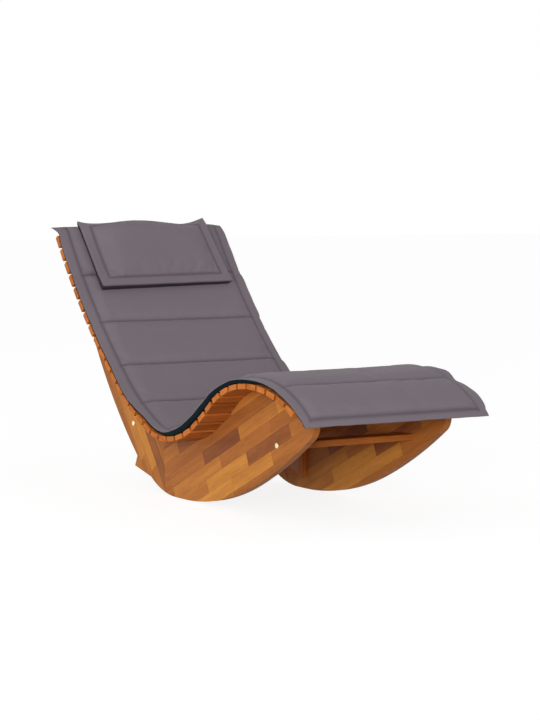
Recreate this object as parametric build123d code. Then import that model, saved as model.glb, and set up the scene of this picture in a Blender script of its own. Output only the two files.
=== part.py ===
from build123d import *

import math
import os

# Rocking sun lounger in millimetres: X across the width, +Y to the head end, +Z up.
# The origin is on the floor, midway between the two rockers, at the middle of their resting flats.
# Left and right are the sitter's own, so the left side is +X.

# Slats
SLAT_COUNT = 34
SLAT_LENGTH = 597.0
SLAT_WIDTH = 38.0
SLAT_THICKNESS = 15.0
SLAT_PITCH = 49.4
SLAT_EDGE_RADIUS = 2.0

# The S-shaped line through the slat centres, from its lowest point to both ends.
# Each tangent arc has a radius and the slope, in degrees, at which the next one starts.
LINE_LOW_Y = -49.0
LINE_LOW_Z = 182.0
SEAT_RADIUS = 237.0
SEAT_END_SLOPE = 22.0
LUMBAR_RADIUS = 771.0
LUMBAR_END_SLOPE = 38.4
BACK_RADIUS = 2130.0
BACK_END_SLOPE = 60.0
THIGH_RADIUS = 349.0
THIGH_END_SLOPE = 32.0
RISE_RADIUS = 940.0
RISE_END_SLOPE = 38.6
KNEE_RADIUS = 311.0
KNEE_END_SLOPE = 9.8
CALF_RADIUS = 454.0
CALF_END_SLOPE = -40.0
FIRST_SLAT_STATION = 888.0

# Side panels and their rocker edge
PANEL_OUTER_X = 218.0
PANEL_THICKNESS = 20.0
REST_FLAT = 40.0
FRONT_ROCKER_RADIUS = 1040.0
FRONT_ROCKER_SLOPE = 23.7
TOE_RADIUS = 1700.0
TOE_SLOPE = 34.3
NOSE_RADIUS = 45.0
NOSE_SLOPE = 80.0
NOSE_INSET = 13.0
REAR_ROCKER_RADIUS = 292.0
REAR_ROCKER_SLOPE = 31.1
HEEL_LENGTH = 105.0
HEEL_SLOPE = 12.0
HEEL_BACK_HEIGHT = 35.0
HEEL_BACK_SLOPE = 117.0
BACK_EDGE_RADIUS = 1535.0
ARM_PAST_SLAT = 3.0
ARM_END_DEPTH = 50.0
ARM_CORNER_RADIUS = 18.0

# The glued joint between each panel's front and back board
JOINT_Y = 85.0
JOINT_Z = 80.0
JOINT_LEAN = 5.7
DOWEL_DIAMETER = 8.0
DOWEL_LENGTH = 60.0
DOWEL_RISES = (-22.0, 28.0)

# Joint plates on the inner faces
PLATE_THICKNESS = 15.0
PLATE_AHEAD_OF_JOINT = 113.0
PLATE_BEHIND_JOINT = 65.0
PLATE_BOTTOM_Z = 38.0
PLATE_HEIGHT = 112.0
PLATE_CORNER_RADIUS = 5.0
PLATE_SCREW_LENGTH = 27.0
PLATE_SCREW_FROM_JOINT = 45.0
PLATE_SCREW_EDGE = 22.0

# Cross rails, bolts and barrel nuts
RAIL_DEPTH = 55.0
RAIL_THICKNESS = 18.0
RAIL_EDGE_RADIUS = 3.0
FRONT_RAIL_Y = -550.0
FRONT_RAIL_Z = 209.0
REAR_RAIL_Y = 279.0
REAR_RAIL_Z = 190.0
BOLT_DIAMETER = 6.0
BOLT_IN_RAIL = 45.0
BOLT_HEAD_DIAMETER = 15.0
BOLT_HEAD_HEIGHT = 3.0
BOLT_HEAD_EDGE = 1.2
BOLT_SOCKET_ACROSS = 4.0
BOLT_SOCKET_DEPTH = 1.8
BARREL_DIAMETER = 10.0
BARREL_LENGTH = 14.0
BARREL_FROM_RAIL_END = 32.0

# Countersunk wood screws
SCREW_DIAMETER = 4.0
SCREW_HEAD_DIAMETER = 8.0
SCREW_TIP = 4.0
SCREW_RECESS_WIDTH = 0.9
SCREW_RECESS_LENGTH = 4.2
SCREW_RECESS_DEPTH = 1.3
SLAT_SCREW_LENGTH = 30.0
SLAT_SCREW_OFFSET = 9.0
HOLE_CLEARANCE = 0.05

# Seat cushion: a flat sewn border with stuffed channels between cross seams
CUSHION_WIDTH = 588.0
CUSHION_BORDER = 31.0
CUSHION_HEAD_STATION = 955.0
CUSHION_FOOT_STATION = -812.0
CUSHION_HEAD_SEAM = 932.0
CUSHION_FOOT_SEAM = -790.0
BACK_CHANNELS = 4
LAST_BACK_SEAM = 205.0
SEAT_CHANNELS = 5
LAST_SEAT_SEAM = -646.6
CUSHION_GAP = 0.6
BORDER_RISE = 6.0
BORDER_THICKNESS = 5.0
CHANNEL_CROWN = 13.0
SEAM_WIDTH = 6.0
SEWN_IN = 1.0

# Headrest pillow, lying on the top channels and fastened along its upper edge
PILLOW_WIDTH = 456.0
PILLOW_BORDER = 30.0
PILLOW_TOP_STATION = 950.0
PILLOW_SHOULDER_STATION = 869.0
PILLOW_LOWER_STATION = 674.0
PILLOW_RISE = 18.0
PILLOW_THICKNESS = 4.0
PILLOW_CROWN = 22.0
PILLOW_GAP = 0.3
PILLOW_TOP_DROP = 30.0

# Share of the full swelling at five evenly spaced places across a stuffed channel,
# and at named shares of the half width out to its sewn sides
SWELL_ALONG = (0.0, 0.85, 1.0, 0.85, 0.0)
SWELL_ACROSS = ((0.0, 1.0), (0.5, 0.98), (0.8, 0.88), (0.93, 0.6), (1.0, 0.0))

HEAD_ARCS = (
    (SEAT_RADIUS, SEAT_END_SLOPE),
    (LUMBAR_RADIUS, LUMBAR_END_SLOPE),
    (BACK_RADIUS, BACK_END_SLOPE),
)
FOOT_ARCS = (
    (THIGH_RADIUS, THIGH_END_SLOPE),
    (RISE_RADIUS, RISE_END_SLOPE),
    (KNEE_RADIUS, KNEE_END_SLOPE),
    (CALF_RADIUS, CALF_END_SLOPE),
)
PANEL_INNER_X = PANEL_OUTER_X - PANEL_THICKNESS
PANEL_MIDDLE_X = PANEL_OUTER_X - PANEL_THICKNESS / 2
SIDES = {"left": 1, "right": -1}

# Heights of the soft parts over the slat line.
# In the hollow of the seat the slats' long edges stand a little above their middles.
SLAT_EDGE_RISE = (SLAT_WIDTH / 2) ** 2 / (2 * SEAT_RADIUS - SLAT_THICKNESS)
CUSHION_LOW = SLAT_THICKNESS / 2 + SLAT_EDGE_RISE + CUSHION_GAP
BORDER_LOW = CUSHION_LOW + BORDER_RISE
BORDER_HIGH = BORDER_LOW + BORDER_THICKNESS
CUSHION_TOP = BORDER_HIGH + CHANNEL_CROWN
PILLOW_LOW = CUSHION_TOP + PILLOW_GAP


def slat_line(station):
    """Place (y, z) and tilt of the slat line at a station, which grows towards the head."""
    side = 1 if station >= 0 else -1
    left = abs(station)
    y, z, slope = 0.0, 0.0, 0.0
    for radius, end_slope in HEAD_ARCS if side > 0 else FOOT_ARCS:
        turn = math.radians(end_slope) - slope
        step = min(left, radius * abs(turn))
        bend = math.copysign(radius, turn)
        next_slope = slope + step / bend
        y += bend * (math.sin(next_slope) - math.sin(slope))
        z += bend * (math.cos(slope) - math.cos(next_slope))
        slope = next_slope
        left -= step
    y += left * math.cos(slope)
    z += left * math.sin(slope)
    return LINE_LOW_Y + side * y, LINE_LOW_Z + z, side * math.degrees(slope)


def beside(station, along, rise):
    """Side-view point measured from a station: along the slat there, and square to it."""
    y, z, tilt = slat_line(station)
    a = math.radians(tilt)
    return (
        y + along * math.cos(a) - rise * math.sin(a),
        z + along * math.sin(a) + rise * math.cos(a),
    )


def above(station, rise):
    """Side-view point straight above the slat line at a station."""
    return beside(station, 0.0, rise)


def on_slat(station):
    """Location of a slat's centre, with Z square to its face."""
    y, z, tilt = slat_line(station)
    return Pos(0, y, z) * Rot(tilt, 0, 0)


def slat_stations():
    return [FIRST_SLAT_STATION - i * SLAT_PITCH for i in range(SLAT_COUNT)]


def arc_joints():
    """Stations where one arc of the slat line meets the next."""
    joints = []
    for side, arcs in ((1, HEAD_ARCS), (-1, FOOT_ARCS)):
        station, slope = 0.0, 0.0
        for radius, end_slope in arcs:
            station += radius * abs(math.radians(end_slope - slope))
            slope = end_slope
            joints.append(side * station)
    return joints + [0.0]


def bend(start, heading, radius, end_heading):
    """Arc from a point and heading to another heading: the edge and where it ends."""
    side = math.copysign(1.0, end_heading - heading)

    def at(angle):
        a, b = math.radians(heading), math.radians(angle)
        return (
            start[0] + side * radius * (math.sin(b) - math.sin(a)),
            start[1] + side * radius * (math.cos(a) - math.cos(b)),
        )

    end = at(end_heading)
    return ThreePointArc(start, at((heading + end_heading) / 2), end), end


def run(start, heading, length):
    """Straight edge from a point: the edge and where it ends."""
    a = math.radians(heading)
    end = (start[0] + length * math.cos(a), start[1] + length * math.sin(a))
    return Line(start, end), end


def bulged(start, end, radius):
    """Arc between two points, standing out to the right of the way from start to end."""
    dy, dz = end[0] - start[0], end[1] - start[1]
    chord = math.hypot(dy, dz)
    rise = radius - math.sqrt(radius**2 - chord**2 / 4)
    middle = (
        (start[0] + end[0]) / 2 + rise * dz / chord,
        (start[1] + end[1]) / 2 - rise * dy / chord,
    )
    return ThreePointArc(start, middle, end)


def side_solid(edges, x_from, x_to):
    """Solid with a side-view outline, from one X to another."""
    face = Plane.YZ * make_face(edges)
    return extrude(Pos(x_from, 0, 0) * face, amount=x_to - x_from, dir=(1, 0, 0))


def wood_screw(length):
    """Countersunk screw with a cross recess; its head's top is at z = 0 and it points down."""
    shank = SCREW_DIAMETER / 2
    head = SCREW_HEAD_DIAMETER / 2
    profile = Polyline(
        (0, 0), (head, 0), (shank, shank - head), (shank, SCREW_TIP - length), (0, -length), close=True
    )
    screw = revolve(Plane.XZ * make_face(profile), axis=Axis.Z)
    slot = Box(SCREW_RECESS_LENGTH, SCREW_RECESS_WIDTH, 2 * SCREW_RECESS_DEPTH)
    return screw - slot - Rot(0, 0, 90) * slot


def screw_hole(length):
    """What a screw's clearance hole takes away, with its countersink."""
    shank = SCREW_DIAMETER / 2 + HOLE_CLEARANCE
    head = SCREW_HEAD_DIAMETER / 2 + HOLE_CLEARANCE
    profile = Polyline((0, 0), (head, 0), (shank, shank - head), (shank, -length), (0, -length), close=True)
    return revolve(Plane.XZ * make_face(profile), axis=Axis.Z)


def screw_spot(side):
    """Place of a screw on a slat's top face: over the panel, and to the head side of the middle."""
    return Pos(side * PANEL_MIDDLE_X, SLAT_SCREW_OFFSET, SLAT_THICKNESS / 2)


def slat_screw_places(side):
    return [on_slat(station) * screw_spot(side) for station in slat_stations()]


def make_slat():
    slat = Box(SLAT_LENGTH, SLAT_WIDTH, SLAT_THICKNESS)
    slat = fillet(slat.edges().filter_by(Axis.X), SLAT_EDGE_RADIUS)
    for side in SIDES.values():
        slat -= screw_spot(side) * screw_hole(SLAT_SCREW_LENGTH)
    return slat


# Side panels
def slat_seats():
    """The panel's top edge, head to foot: one flat under each slat."""
    half, under = SLAT_WIDTH / 2, -SLAT_THICKNESS / 2
    stations = slat_stations()
    points = []
    for station in stations:
        points.append(beside(station, half, under))
        points.append(beside(station, -half, under))
    points[0] = beside(stations[0], half + ARM_PAST_SLAT, under)
    points[-1] = beside(stations[-1], NOSE_INSET - half, under)
    return points


def panel_outline():
    """Closed side view of a whole panel: rocker, heel, back edge, slat seats and nose."""
    seats = slat_seats()
    arm_end = beside(
        FIRST_SLAT_STATION, SLAT_WIDTH / 2 + ARM_PAST_SLAT, -SLAT_THICKNESS / 2 - ARM_END_DEPTH
    )
    rear_start, front_start = (REST_FLAT / 2, 0.0), (-REST_FLAT / 2, 0.0)
    rear_rocker, heel_start = bend(rear_start, 0, REAR_ROCKER_RADIUS, REAR_ROCKER_SLOPE)
    heel, heel_end = run(heel_start, HEEL_SLOPE, HEEL_LENGTH)
    heel_back, back_start = run(heel_end, HEEL_BACK_SLOPE, HEEL_BACK_HEIGHT)
    front_rocker, toe_start = bend(front_start, 180, FRONT_ROCKER_RADIUS, 180 - FRONT_ROCKER_SLOPE)
    toe, nose_start = bend(toe_start, 180 - FRONT_ROCKER_SLOPE, TOE_RADIUS, 180 - TOE_SLOPE)
    nose, nose_end = bend(nose_start, 180 - TOE_SLOPE, NOSE_RADIUS, 180 - NOSE_SLOPE)
    edges = [Line(front_start, rear_start), rear_rocker, heel, heel_back]
    edges += [bulged(back_start, arm_end, BACK_EDGE_RADIUS), Line(arm_end, seats[0])]
    edges += [Line(a, b) for a, b in zip(seats, seats[1:])]
    edges += [Line(seats[-1], nose_end), nose, toe, front_rocker]
    face = make_face(edges)
    corner = face.vertices().sort_by_distance(Vector(*arm_end))[0]
    return fillet(corner, ARM_CORNER_RADIUS)


def joint_plane():
    """Plane of the glue line: its Z points to the back board, and its Y up along the joint."""
    a = math.radians(JOINT_LEAN)
    return Plane(origin=(0, JOINT_Y, JOINT_Z), x_dir=(-1, 0, 0), z_dir=(0, math.cos(a), -math.sin(a)))


def dowels(side, clearance=0.0):
    dowel = Cylinder(DOWEL_DIAMETER / 2 + clearance, DOWEL_LENGTH + 2 * clearance)
    return [joint_plane() * Pos(-side * PANEL_MIDDLE_X, rise, 0) * dowel for rise in DOWEL_RISES]


def rail_places():
    return {"front": (FRONT_RAIL_Y, FRONT_RAIL_Z), "rear": (REAR_RAIL_Y, REAR_RAIL_Z)}


def bolt_axes(side):
    """Locations on a panel's outer face with Z pointing outwards along each rail bolt."""
    turn = Rot(0, 90 * side, 0)
    return [Pos(side * PANEL_OUTER_X, y, z) * turn for y, z in rail_places().values()]


def plate_screw_places(side):
    """Locations on a joint plate's inner face with Z pointing out of the plate."""
    rows = (PLATE_BOTTOM_Z + PLATE_SCREW_EDGE, PLATE_BOTTOM_Z + PLATE_HEIGHT - PLATE_SCREW_EDGE)
    columns = (JOINT_Y - PLATE_SCREW_FROM_JOINT, JOINT_Y + PLATE_SCREW_FROM_JOINT)
    x = side * (PANEL_INNER_X - PLATE_THICKNESS)
    turn = Rot(0, -90 * side, 0)
    return [Pos(x, y, z) * turn for y in columns for z in rows]


def make_panel_boards(side):
    """Front and back board of one panel, with every hole drilled."""
    x_inner = side * PANEL_INNER_X
    panel = extrude(
        Pos(x_inner, 0, 0) * (Plane.YZ * panel_outline()), amount=PANEL_THICKNESS, dir=(side, 0, 0)
    )
    bolt_hole = Cylinder(BOLT_DIAMETER / 2 + HOLE_CLEARANCE, 3 * PANEL_THICKNESS)
    cuts = [place * bolt_hole for place in bolt_axes(side)]
    cuts += [place * screw_hole(SLAT_SCREW_LENGTH + HOLE_CLEARANCE) for place in slat_screw_places(side)]
    cuts += [place * screw_hole(PLATE_SCREW_LENGTH + HOLE_CLEARANCE) for place in plate_screw_places(side)]
    cuts += dowels(side, HOLE_CLEARANCE)
    panel -= cuts
    back = split(panel, bisect_by=joint_plane(), keep=Keep.TOP)
    front = split(panel, bisect_by=joint_plane(), keep=Keep.BOTTOM)
    return front, back


def make_joint_plate(side):
    width = PLATE_AHEAD_OF_JOINT + PLATE_BEHIND_JOINT
    plate = Box(PLATE_THICKNESS, width, PLATE_HEIGHT)
    plate = fillet(plate.edges().filter_by(Axis.X), PLATE_CORNER_RADIUS)
    plate = Pos(
        side * (PANEL_INNER_X - PLATE_THICKNESS / 2),
        JOINT_Y + (PLATE_BEHIND_JOINT - PLATE_AHEAD_OF_JOINT) / 2,
        PLATE_BOTTOM_Z + PLATE_HEIGHT / 2,
    ) * plate
    return plate - [place * screw_hole(PLATE_SCREW_LENGTH) for place in plate_screw_places(side)]


# Rails and their fastenings
def barrel_bore_height():
    """Depth of the blind bore that leaves the barrel nut in the middle of the rail."""
    return (RAIL_THICKNESS + BARREL_LENGTH) / 2


def make_rail(y, z):
    rail = Box(2 * PANEL_INNER_X, RAIL_DEPTH, RAIL_THICKNESS)
    rail = fillet(rail.edges().filter_by(Axis.X), RAIL_EDGE_RADIUS)
    bolt_hole = Rot(0, 90, 0) * Cylinder(BOLT_DIAMETER / 2 + HOLE_CLEARANCE, 2 * BOLT_IN_RAIL)
    bore = Cylinder(BARREL_DIAMETER / 2 + HOLE_CLEARANCE, barrel_bore_height())
    bore_z = (barrel_bore_height() - RAIL_THICKNESS) / 2
    for side in SIDES.values():
        rail -= Pos(side * PANEL_INNER_X, 0, 0) * bolt_hole
        rail -= Pos(side * (PANEL_INNER_X - BARREL_FROM_RAIL_END), 0, bore_z) * bore
    return Pos(0, y, z) * rail


def make_bolt():
    """Bolt with a rounded head and hex socket; the head's seat is at z = 0 and it points down."""
    length = PANEL_THICKNESS + BOLT_IN_RAIL
    head = Pos(0, 0, BOLT_HEAD_HEIGHT / 2) * Cylinder(BOLT_HEAD_DIAMETER / 2, BOLT_HEAD_HEIGHT)
    head = fillet(head.edges().sort_by(Axis.Z)[-1], BOLT_HEAD_EDGE)
    bolt = head + Pos(0, 0, -length / 2) * Cylinder(BOLT_DIAMETER / 2, length)
    socket_face = RegularPolygon(BOLT_SOCKET_ACROSS / 2, 6, major_radius=False)
    socket = extrude(Pos(0, 0, BOLT_HEAD_HEIGHT - BOLT_SOCKET_DEPTH) * socket_face, BOLT_HEAD_HEIGHT)
    return bolt - socket


def make_barrel_nut():
    """Barrel nut standing on Z, bored across for its bolt."""
    nut = Cylinder(BARREL_DIAMETER / 2, BARREL_LENGTH)
    return nut - Rot(0, 90, 0) * Cylinder(BOLT_DIAMETER / 2 + HOLE_CLEARANCE, 2 * BARREL_DIAMETER)


# Soft parts
def spread(first, last, count):
    """Evenly spaced values from first to last."""
    return [first + (last - first) * i / (count - 1) for i in range(count)]


def soft_section(x, stations, lows, highs):
    """Closed outline at one X: two arcs below and two above, on five stations."""
    low = [above(s, rise) for s, rise in zip(stations, lows)]
    high = [above(s, rise) for s, rise in zip(stations, highs)]
    edges = [ThreePointArc(*low[0:3]), ThreePointArc(*low[2:5]), Line(low[4], high[4])]
    edges += [ThreePointArc(*high[4:1:-1]), ThreePointArc(*high[2::-1]), Line(high[0], low[0])]
    return Pos(x, 0, 0) * (Plane.YZ * make_face(edges))


def stuffed_pad(half_width, stations, lows, highs, sink, crown):
    """Crowned pad on five stations, whose sewn edges end inside the cloth between lows and highs."""
    sections = []
    shares = [(-u, swell) for u, swell in SWELL_ACROSS[:0:-1]] + list(SWELL_ACROSS)
    for u, swell in shares:
        under = [
            low + SEWN_IN - swell * along * (sink + SEWN_IN) for low, along in zip(lows, SWELL_ALONG)
        ]
        over = [
            high - SEWN_IN + swell * along * (crown + SEWN_IN) for high, along in zip(highs, SWELL_ALONG)
        ]
        sections.append(soft_section(u * half_width, stations, under, over))
    return loft(sections, ruled=True)


def border_strip():
    """Flat sewn cloth of the seat cushion, following the slat line from end to end."""
    inside = [s for s in arc_joints() if CUSHION_FOOT_STATION < s < CUSHION_HEAD_STATION]
    breaks = sorted(inside + [CUSHION_FOOT_STATION, CUSHION_HEAD_STATION])
    edges = []
    for rise in (BORDER_LOW, BORDER_HIGH):
        for a, b in zip(breaks, breaks[1:]):
            edges.append(ThreePointArc(above(a, rise), above((a + b) / 2, rise), above(b, rise)))
    for end in (breaks[0], breaks[-1]):
        edges.append(Line(above(end, BORDER_LOW), above(end, BORDER_HIGH)))
    return side_solid(edges, -CUSHION_WIDTH / 2, CUSHION_WIDTH / 2)


def cushion_seams():
    """Stations of the cross seams, head to foot, with both border seams."""
    back = spread(CUSHION_HEAD_SEAM, LAST_BACK_SEAM, BACK_CHANNELS + 1)
    seat = spread(LAST_BACK_SEAM, LAST_SEAT_SEAM, SEAT_CHANNELS + 1)[1:]
    return back + seat + [CUSHION_FOOT_SEAM]


def make_cushion():
    """Border cloth with one stuffed channel between each pair of seams."""
    half_width = CUSHION_WIDTH / 2 - CUSHION_BORDER
    seams = cushion_seams()
    channels = []
    for upper, lower in zip(seams, seams[1:]):
        stations = spread(lower + SEAM_WIDTH / 2, upper - SEAM_WIDTH / 2, 5)
        lows, highs = [BORDER_LOW] * 5, [BORDER_HIGH] * 5
        channels.append(stuffed_pad(half_width, stations, lows, highs, BORDER_RISE, CHANNEL_CROWN))
    return border_strip() + channels


def pillow_height(station):
    """Height of the pillow's border cloth, which dips from the shoulder to the upper edge."""
    share = (station - PILLOW_SHOULDER_STATION) / (PILLOW_TOP_STATION - PILLOW_SHOULDER_STATION)
    return PILLOW_LOW + PILLOW_RISE - PILLOW_TOP_DROP * max(0.0, share) ** 2


def make_pillow():
    """Bordered pillow, full on both faces, that follows the back and dips at its upper edge."""
    stations = spread(PILLOW_LOWER_STATION, PILLOW_SHOULDER_STATION, 3)
    stations += spread(PILLOW_SHOULDER_STATION, PILLOW_TOP_STATION, 3)[1:]
    lows = [pillow_height(station) for station in stations]
    highs = [low + PILLOW_THICKNESS for low in lows]
    border = extrude(soft_section(0, stations, lows, highs), amount=PILLOW_WIDTH / 2, dir=(1, 0, 0), both=True)
    inner = spread(PILLOW_LOWER_STATION + PILLOW_BORDER, PILLOW_TOP_STATION - PILLOW_BORDER, 5)
    sewn_lows = [pillow_height(station) for station in inner]
    sewn_highs = [low + PILLOW_THICKNESS for low in sewn_lows]
    half_width = PILLOW_WIDTH / 2 - PILLOW_BORDER
    return border + stuffed_pad(half_width, inner, sewn_lows, sewn_highs, PILLOW_RISE, PILLOW_CROWN)


def make_parts():
    """Every node of the lounger by name."""
    parts = {}
    slat = make_slat()
    for number, station in enumerate(slat_stations(), 1):
        parts[f"slat_{number:02d}"] = on_slat(station) * slat
    bolt, nut = make_bolt(), make_barrel_nut()
    bolts, nuts, plate_screws, pegs = [], [], [], []
    for name, side in SIDES.items():
        parts[f"{name}_front_panel"], parts[f"{name}_back_panel"] = make_panel_boards(side)
        parts[f"{name}_joint_plate"] = make_joint_plate(side)
        screws = [place * wood_screw(SLAT_SCREW_LENGTH) for place in slat_screw_places(side)]
        parts[f"{name}_slat_screws"] = Compound(screws)
        bolts += [place * bolt for place in bolt_axes(side)]
        nut_x = side * (PANEL_INNER_X - BARREL_FROM_RAIL_END)
        nuts += [Pos(nut_x, y, z) * nut for y, z in rail_places().values()]
        plate_screws += [place * wood_screw(PLATE_SCREW_LENGTH) for place in plate_screw_places(side)]
        pegs += dowels(side)
    for name, (y, z) in rail_places().items():
        parts[f"{name}_cross_rail"] = make_rail(y, z)
    parts["rail_bolts"] = Compound(bolts)
    parts["rail_barrel_nuts"] = Compound(nuts)
    parts["joint_plate_screws"] = Compound(plate_screws)
    parts["panel_dowels"] = Compound(pegs)
    parts["seat_cushion"] = make_cushion()
    parts["headrest_pillow"] = make_pillow()
    return parts


os.makedirs("parts", exist_ok=True)
for node, shape in make_parts().items():
    export_step(shape, f"parts/{node}.step")
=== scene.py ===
"""Rocking sun lounger: oiled wood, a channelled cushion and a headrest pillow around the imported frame."""

import math

import bmesh
import bpy
import numpy as np
from bpy.props import FloatProperty, FloatVectorProperty, PointerProperty
from mathutils import Matrix, Vector


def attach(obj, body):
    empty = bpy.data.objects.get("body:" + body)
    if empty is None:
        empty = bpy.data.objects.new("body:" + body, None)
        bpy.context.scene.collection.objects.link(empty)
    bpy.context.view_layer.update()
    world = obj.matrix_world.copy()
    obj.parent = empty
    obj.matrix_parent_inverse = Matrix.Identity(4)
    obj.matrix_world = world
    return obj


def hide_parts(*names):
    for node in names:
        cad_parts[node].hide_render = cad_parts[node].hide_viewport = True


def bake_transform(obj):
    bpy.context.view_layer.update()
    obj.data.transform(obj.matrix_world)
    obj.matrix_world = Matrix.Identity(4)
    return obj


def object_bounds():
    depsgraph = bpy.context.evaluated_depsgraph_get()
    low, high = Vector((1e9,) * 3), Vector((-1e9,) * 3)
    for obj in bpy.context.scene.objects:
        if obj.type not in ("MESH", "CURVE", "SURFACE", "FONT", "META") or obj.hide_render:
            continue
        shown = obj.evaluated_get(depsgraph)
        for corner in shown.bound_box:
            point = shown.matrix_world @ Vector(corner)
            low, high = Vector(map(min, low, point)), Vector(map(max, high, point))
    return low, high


bl_info = {
    "name": "Rocking Sun Lounger",
    "version": (1, 0, 0),
    "blender": (4, 5, 0),
    "location": "View3D > Sidebar > Lounger",
    "description": "Dresses the lounger's frame in wood, cloth and studio light",
    "category": "Object",
}

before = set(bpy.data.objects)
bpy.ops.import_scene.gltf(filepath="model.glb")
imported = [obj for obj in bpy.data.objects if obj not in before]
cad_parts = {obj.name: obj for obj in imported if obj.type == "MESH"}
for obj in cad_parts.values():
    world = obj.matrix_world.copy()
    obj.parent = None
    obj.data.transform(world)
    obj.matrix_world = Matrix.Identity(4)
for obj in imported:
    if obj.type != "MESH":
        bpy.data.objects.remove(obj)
CAD_BOX = [list(corner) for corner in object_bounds()]

# Line through the slat centres: its lowest point, then tangent arcs (radius, end slope in degrees)
LOW_Y, LOW_Z = -0.049, 0.182
HEAD_ARCS = ((0.237, 22.0), (0.771, 38.4), (2.130, 60.0))
FOOT_ARCS = ((0.349, 32.0), (0.940, 38.6), (0.311, 9.8), (0.454, -40.0))

SLATS = sorted(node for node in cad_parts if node.startswith("slat_"))
FRONT_BOARDS = ("left_front_panel", "right_front_panel")
BACK_BOARDS = ("left_back_panel", "right_back_panel")
JOINT_PLATES = ("left_joint_plate", "right_joint_plate")
RAILS = ("front_cross_rail", "rear_cross_rail")


def linear(red, green, blue):
    """Scene colour of a display colour given from 0 to 255."""
    share = np.array((red, green, blue)) / 255.0
    return tuple(np.where(share <= 0.04045, share / 12.92, ((share + 0.055) / 1.055) ** 2.4))


class LoungerWood(bpy.types.PropertyGroup):
    """Sizes and tones of the oiled hardwood"""

    edge_round: FloatProperty(
        name="Edge rounding", description="Radius on the boards' sanded edges",
        default=0.0014, unit="LENGTH")
    stave_width: FloatProperty(
        name="Stave width", description="Width of one glued stave in a panel", default=0.039, unit="LENGTH")
    stave_length: FloatProperty(
        name="Stave length", description="Shortest length of a stave", default=0.21, unit="LENGTH")
    stave_spread: FloatProperty(
        name="Stave spread", description="How much longer the longest stave is",
        default=0.17, unit="LENGTH")
    front_slope: FloatProperty(
        name="Front slope", description="Rise of the front boards' staves to the foot",
        default=math.radians(24.4), subtype="ANGLE")
    back_slope: FloatProperty(
        name="Back slope", description="Rise of the back boards' staves to the head",
        default=math.radians(51.5), subtype="ANGLE")
    dark: FloatVectorProperty(
        name="Dark heartwood", description="Darkest stave", size=3, subtype="COLOR",
        default=linear(150, 86, 52))
    middle: FloatVectorProperty(
        name="Middle wood", description="Usual stave", size=3, subtype="COLOR",
        default=linear(206, 127, 62))
    light: FloatVectorProperty(
        name="Light sapwood", description="Lightest stave", size=3, subtype="COLOR",
        default=linear(242, 163, 74))
    slat: FloatVectorProperty(
        name="Slat wood", description="Usual slat", size=3, subtype="COLOR", default=linear(192, 110, 46))


class LoungerCloth(bpy.types.PropertyGroup):
    """Sizes and colours of the cushion and the pillow"""

    width: FloatProperty(
        name="Cushion width", description="Over the sewn border", default=0.588, unit="LENGTH")
    border: FloatProperty(
        name="Border", description="Flat cloth outside the border stitch", default=0.031, unit="LENGTH")
    head_border: FloatProperty(
        name="Head border", description="Cloth past the head seam", default=0.023, unit="LENGTH")
    foot_border: FloatProperty(
        name="Foot border", description="Cloth past the foot seam", default=0.0235, unit="LENGTH")
    low: FloatProperty(
        name="Underside", description="Height of the underside over the slat line",
        default=0.0090, unit="LENGTH")
    puff: FloatProperty(
        name="Channel rise", description="Rise of the stuffed channels over their seams",
        default=0.0095, unit="LENGTH")
    cloth: FloatProperty(
        name="Sewn thickness", description="Thickness of the stitched border",
        default=0.0034, unit="LENGTH")
    pillow_width: FloatProperty(
        name="Pillow width", description="Over the sewn border", default=0.456, unit="LENGTH")
    pillow_border: FloatProperty(
        name="Pillow border", description="Flat cloth outside the stitch", default=0.031, unit="LENGTH")
    pillow_lower: FloatProperty(
        name="Pillow lower edge", description="Station of the lower edge", default=0.6785, unit="LENGTH")
    pillow_upper: FloatProperty(
        name="Pillow upper edge", description="Station of the upper edge", default=0.9415, unit="LENGTH")
    # Set low, so that the dark lining's wall below the pillow's lower edge is tall enough to read as its
    # painted shadow
    pillow_low: FloatProperty(
        name="Pillow underside", description="Height over the slat line", default=0.0285, unit="LENGTH")
    pillow_seam: FloatProperty(
        name="Pillow border height", description="Height of the border over the slat line",
        default=0.0500, unit="LENGTH")
    pillow_crown: FloatProperty(
        name="Pillow crown", description="Rise of the stuffing over the border",
        default=0.0205, unit="LENGTH")
    pillow_skew: FloatProperty(
        name="Pillow skew", description="Rise of the pillow towards the sitter's left", default=0.030)
    tab_width: FloatProperty(
        name="Tab width", description="Cloth tab that holds the pillow's upper edge",
        default=0.150, unit="LENGTH")
    tab_cloth: FloatProperty(
        name="Tab thickness", description="Doubled cloth of the tab", default=0.0014, unit="LENGTH")
    stitch_length: FloatProperty(
        name="Stitch length", description="Visible thread of one stitch", default=0.0032, unit="LENGTH")
    stitch_pitch: FloatProperty(
        name="Stitch pitch", description="From one stitch to the next", default=0.0046, unit="LENGTH")
    stitch_radius: FloatProperty(
        name="Thread radius", description="Half the thread's thickness", default=0.00045, unit="LENGTH")
    fabric: FloatVectorProperty(
        name="Fabric", description="Warm grey outdoor cloth", size=3, subtype="COLOR",
        default=linear(130, 119, 127))
    # Partly painted shade: this dark underside cloth also stands in for the shade under the border, where it
    # shows beside the slats
    underside: FloatVectorProperty(
        name="Underside cloth", description="Dark cloth under the cushion", size=3, subtype="COLOR",
        default=linear(11, 27, 32))
    # Painted shadow: this dark lining under the pillow shows below its lower edge as the pillow's shadow on
    # the cushion
    lining: FloatVectorProperty(
        name="Pillow lining", description="Dark cloth under the pillow", size=3, subtype="COLOR",
        default=linear(70, 63, 70))
    thread: FloatVectorProperty(
        name="Thread", description="Sewing thread", size=3, subtype="COLOR", default=linear(98, 88, 95))


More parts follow.
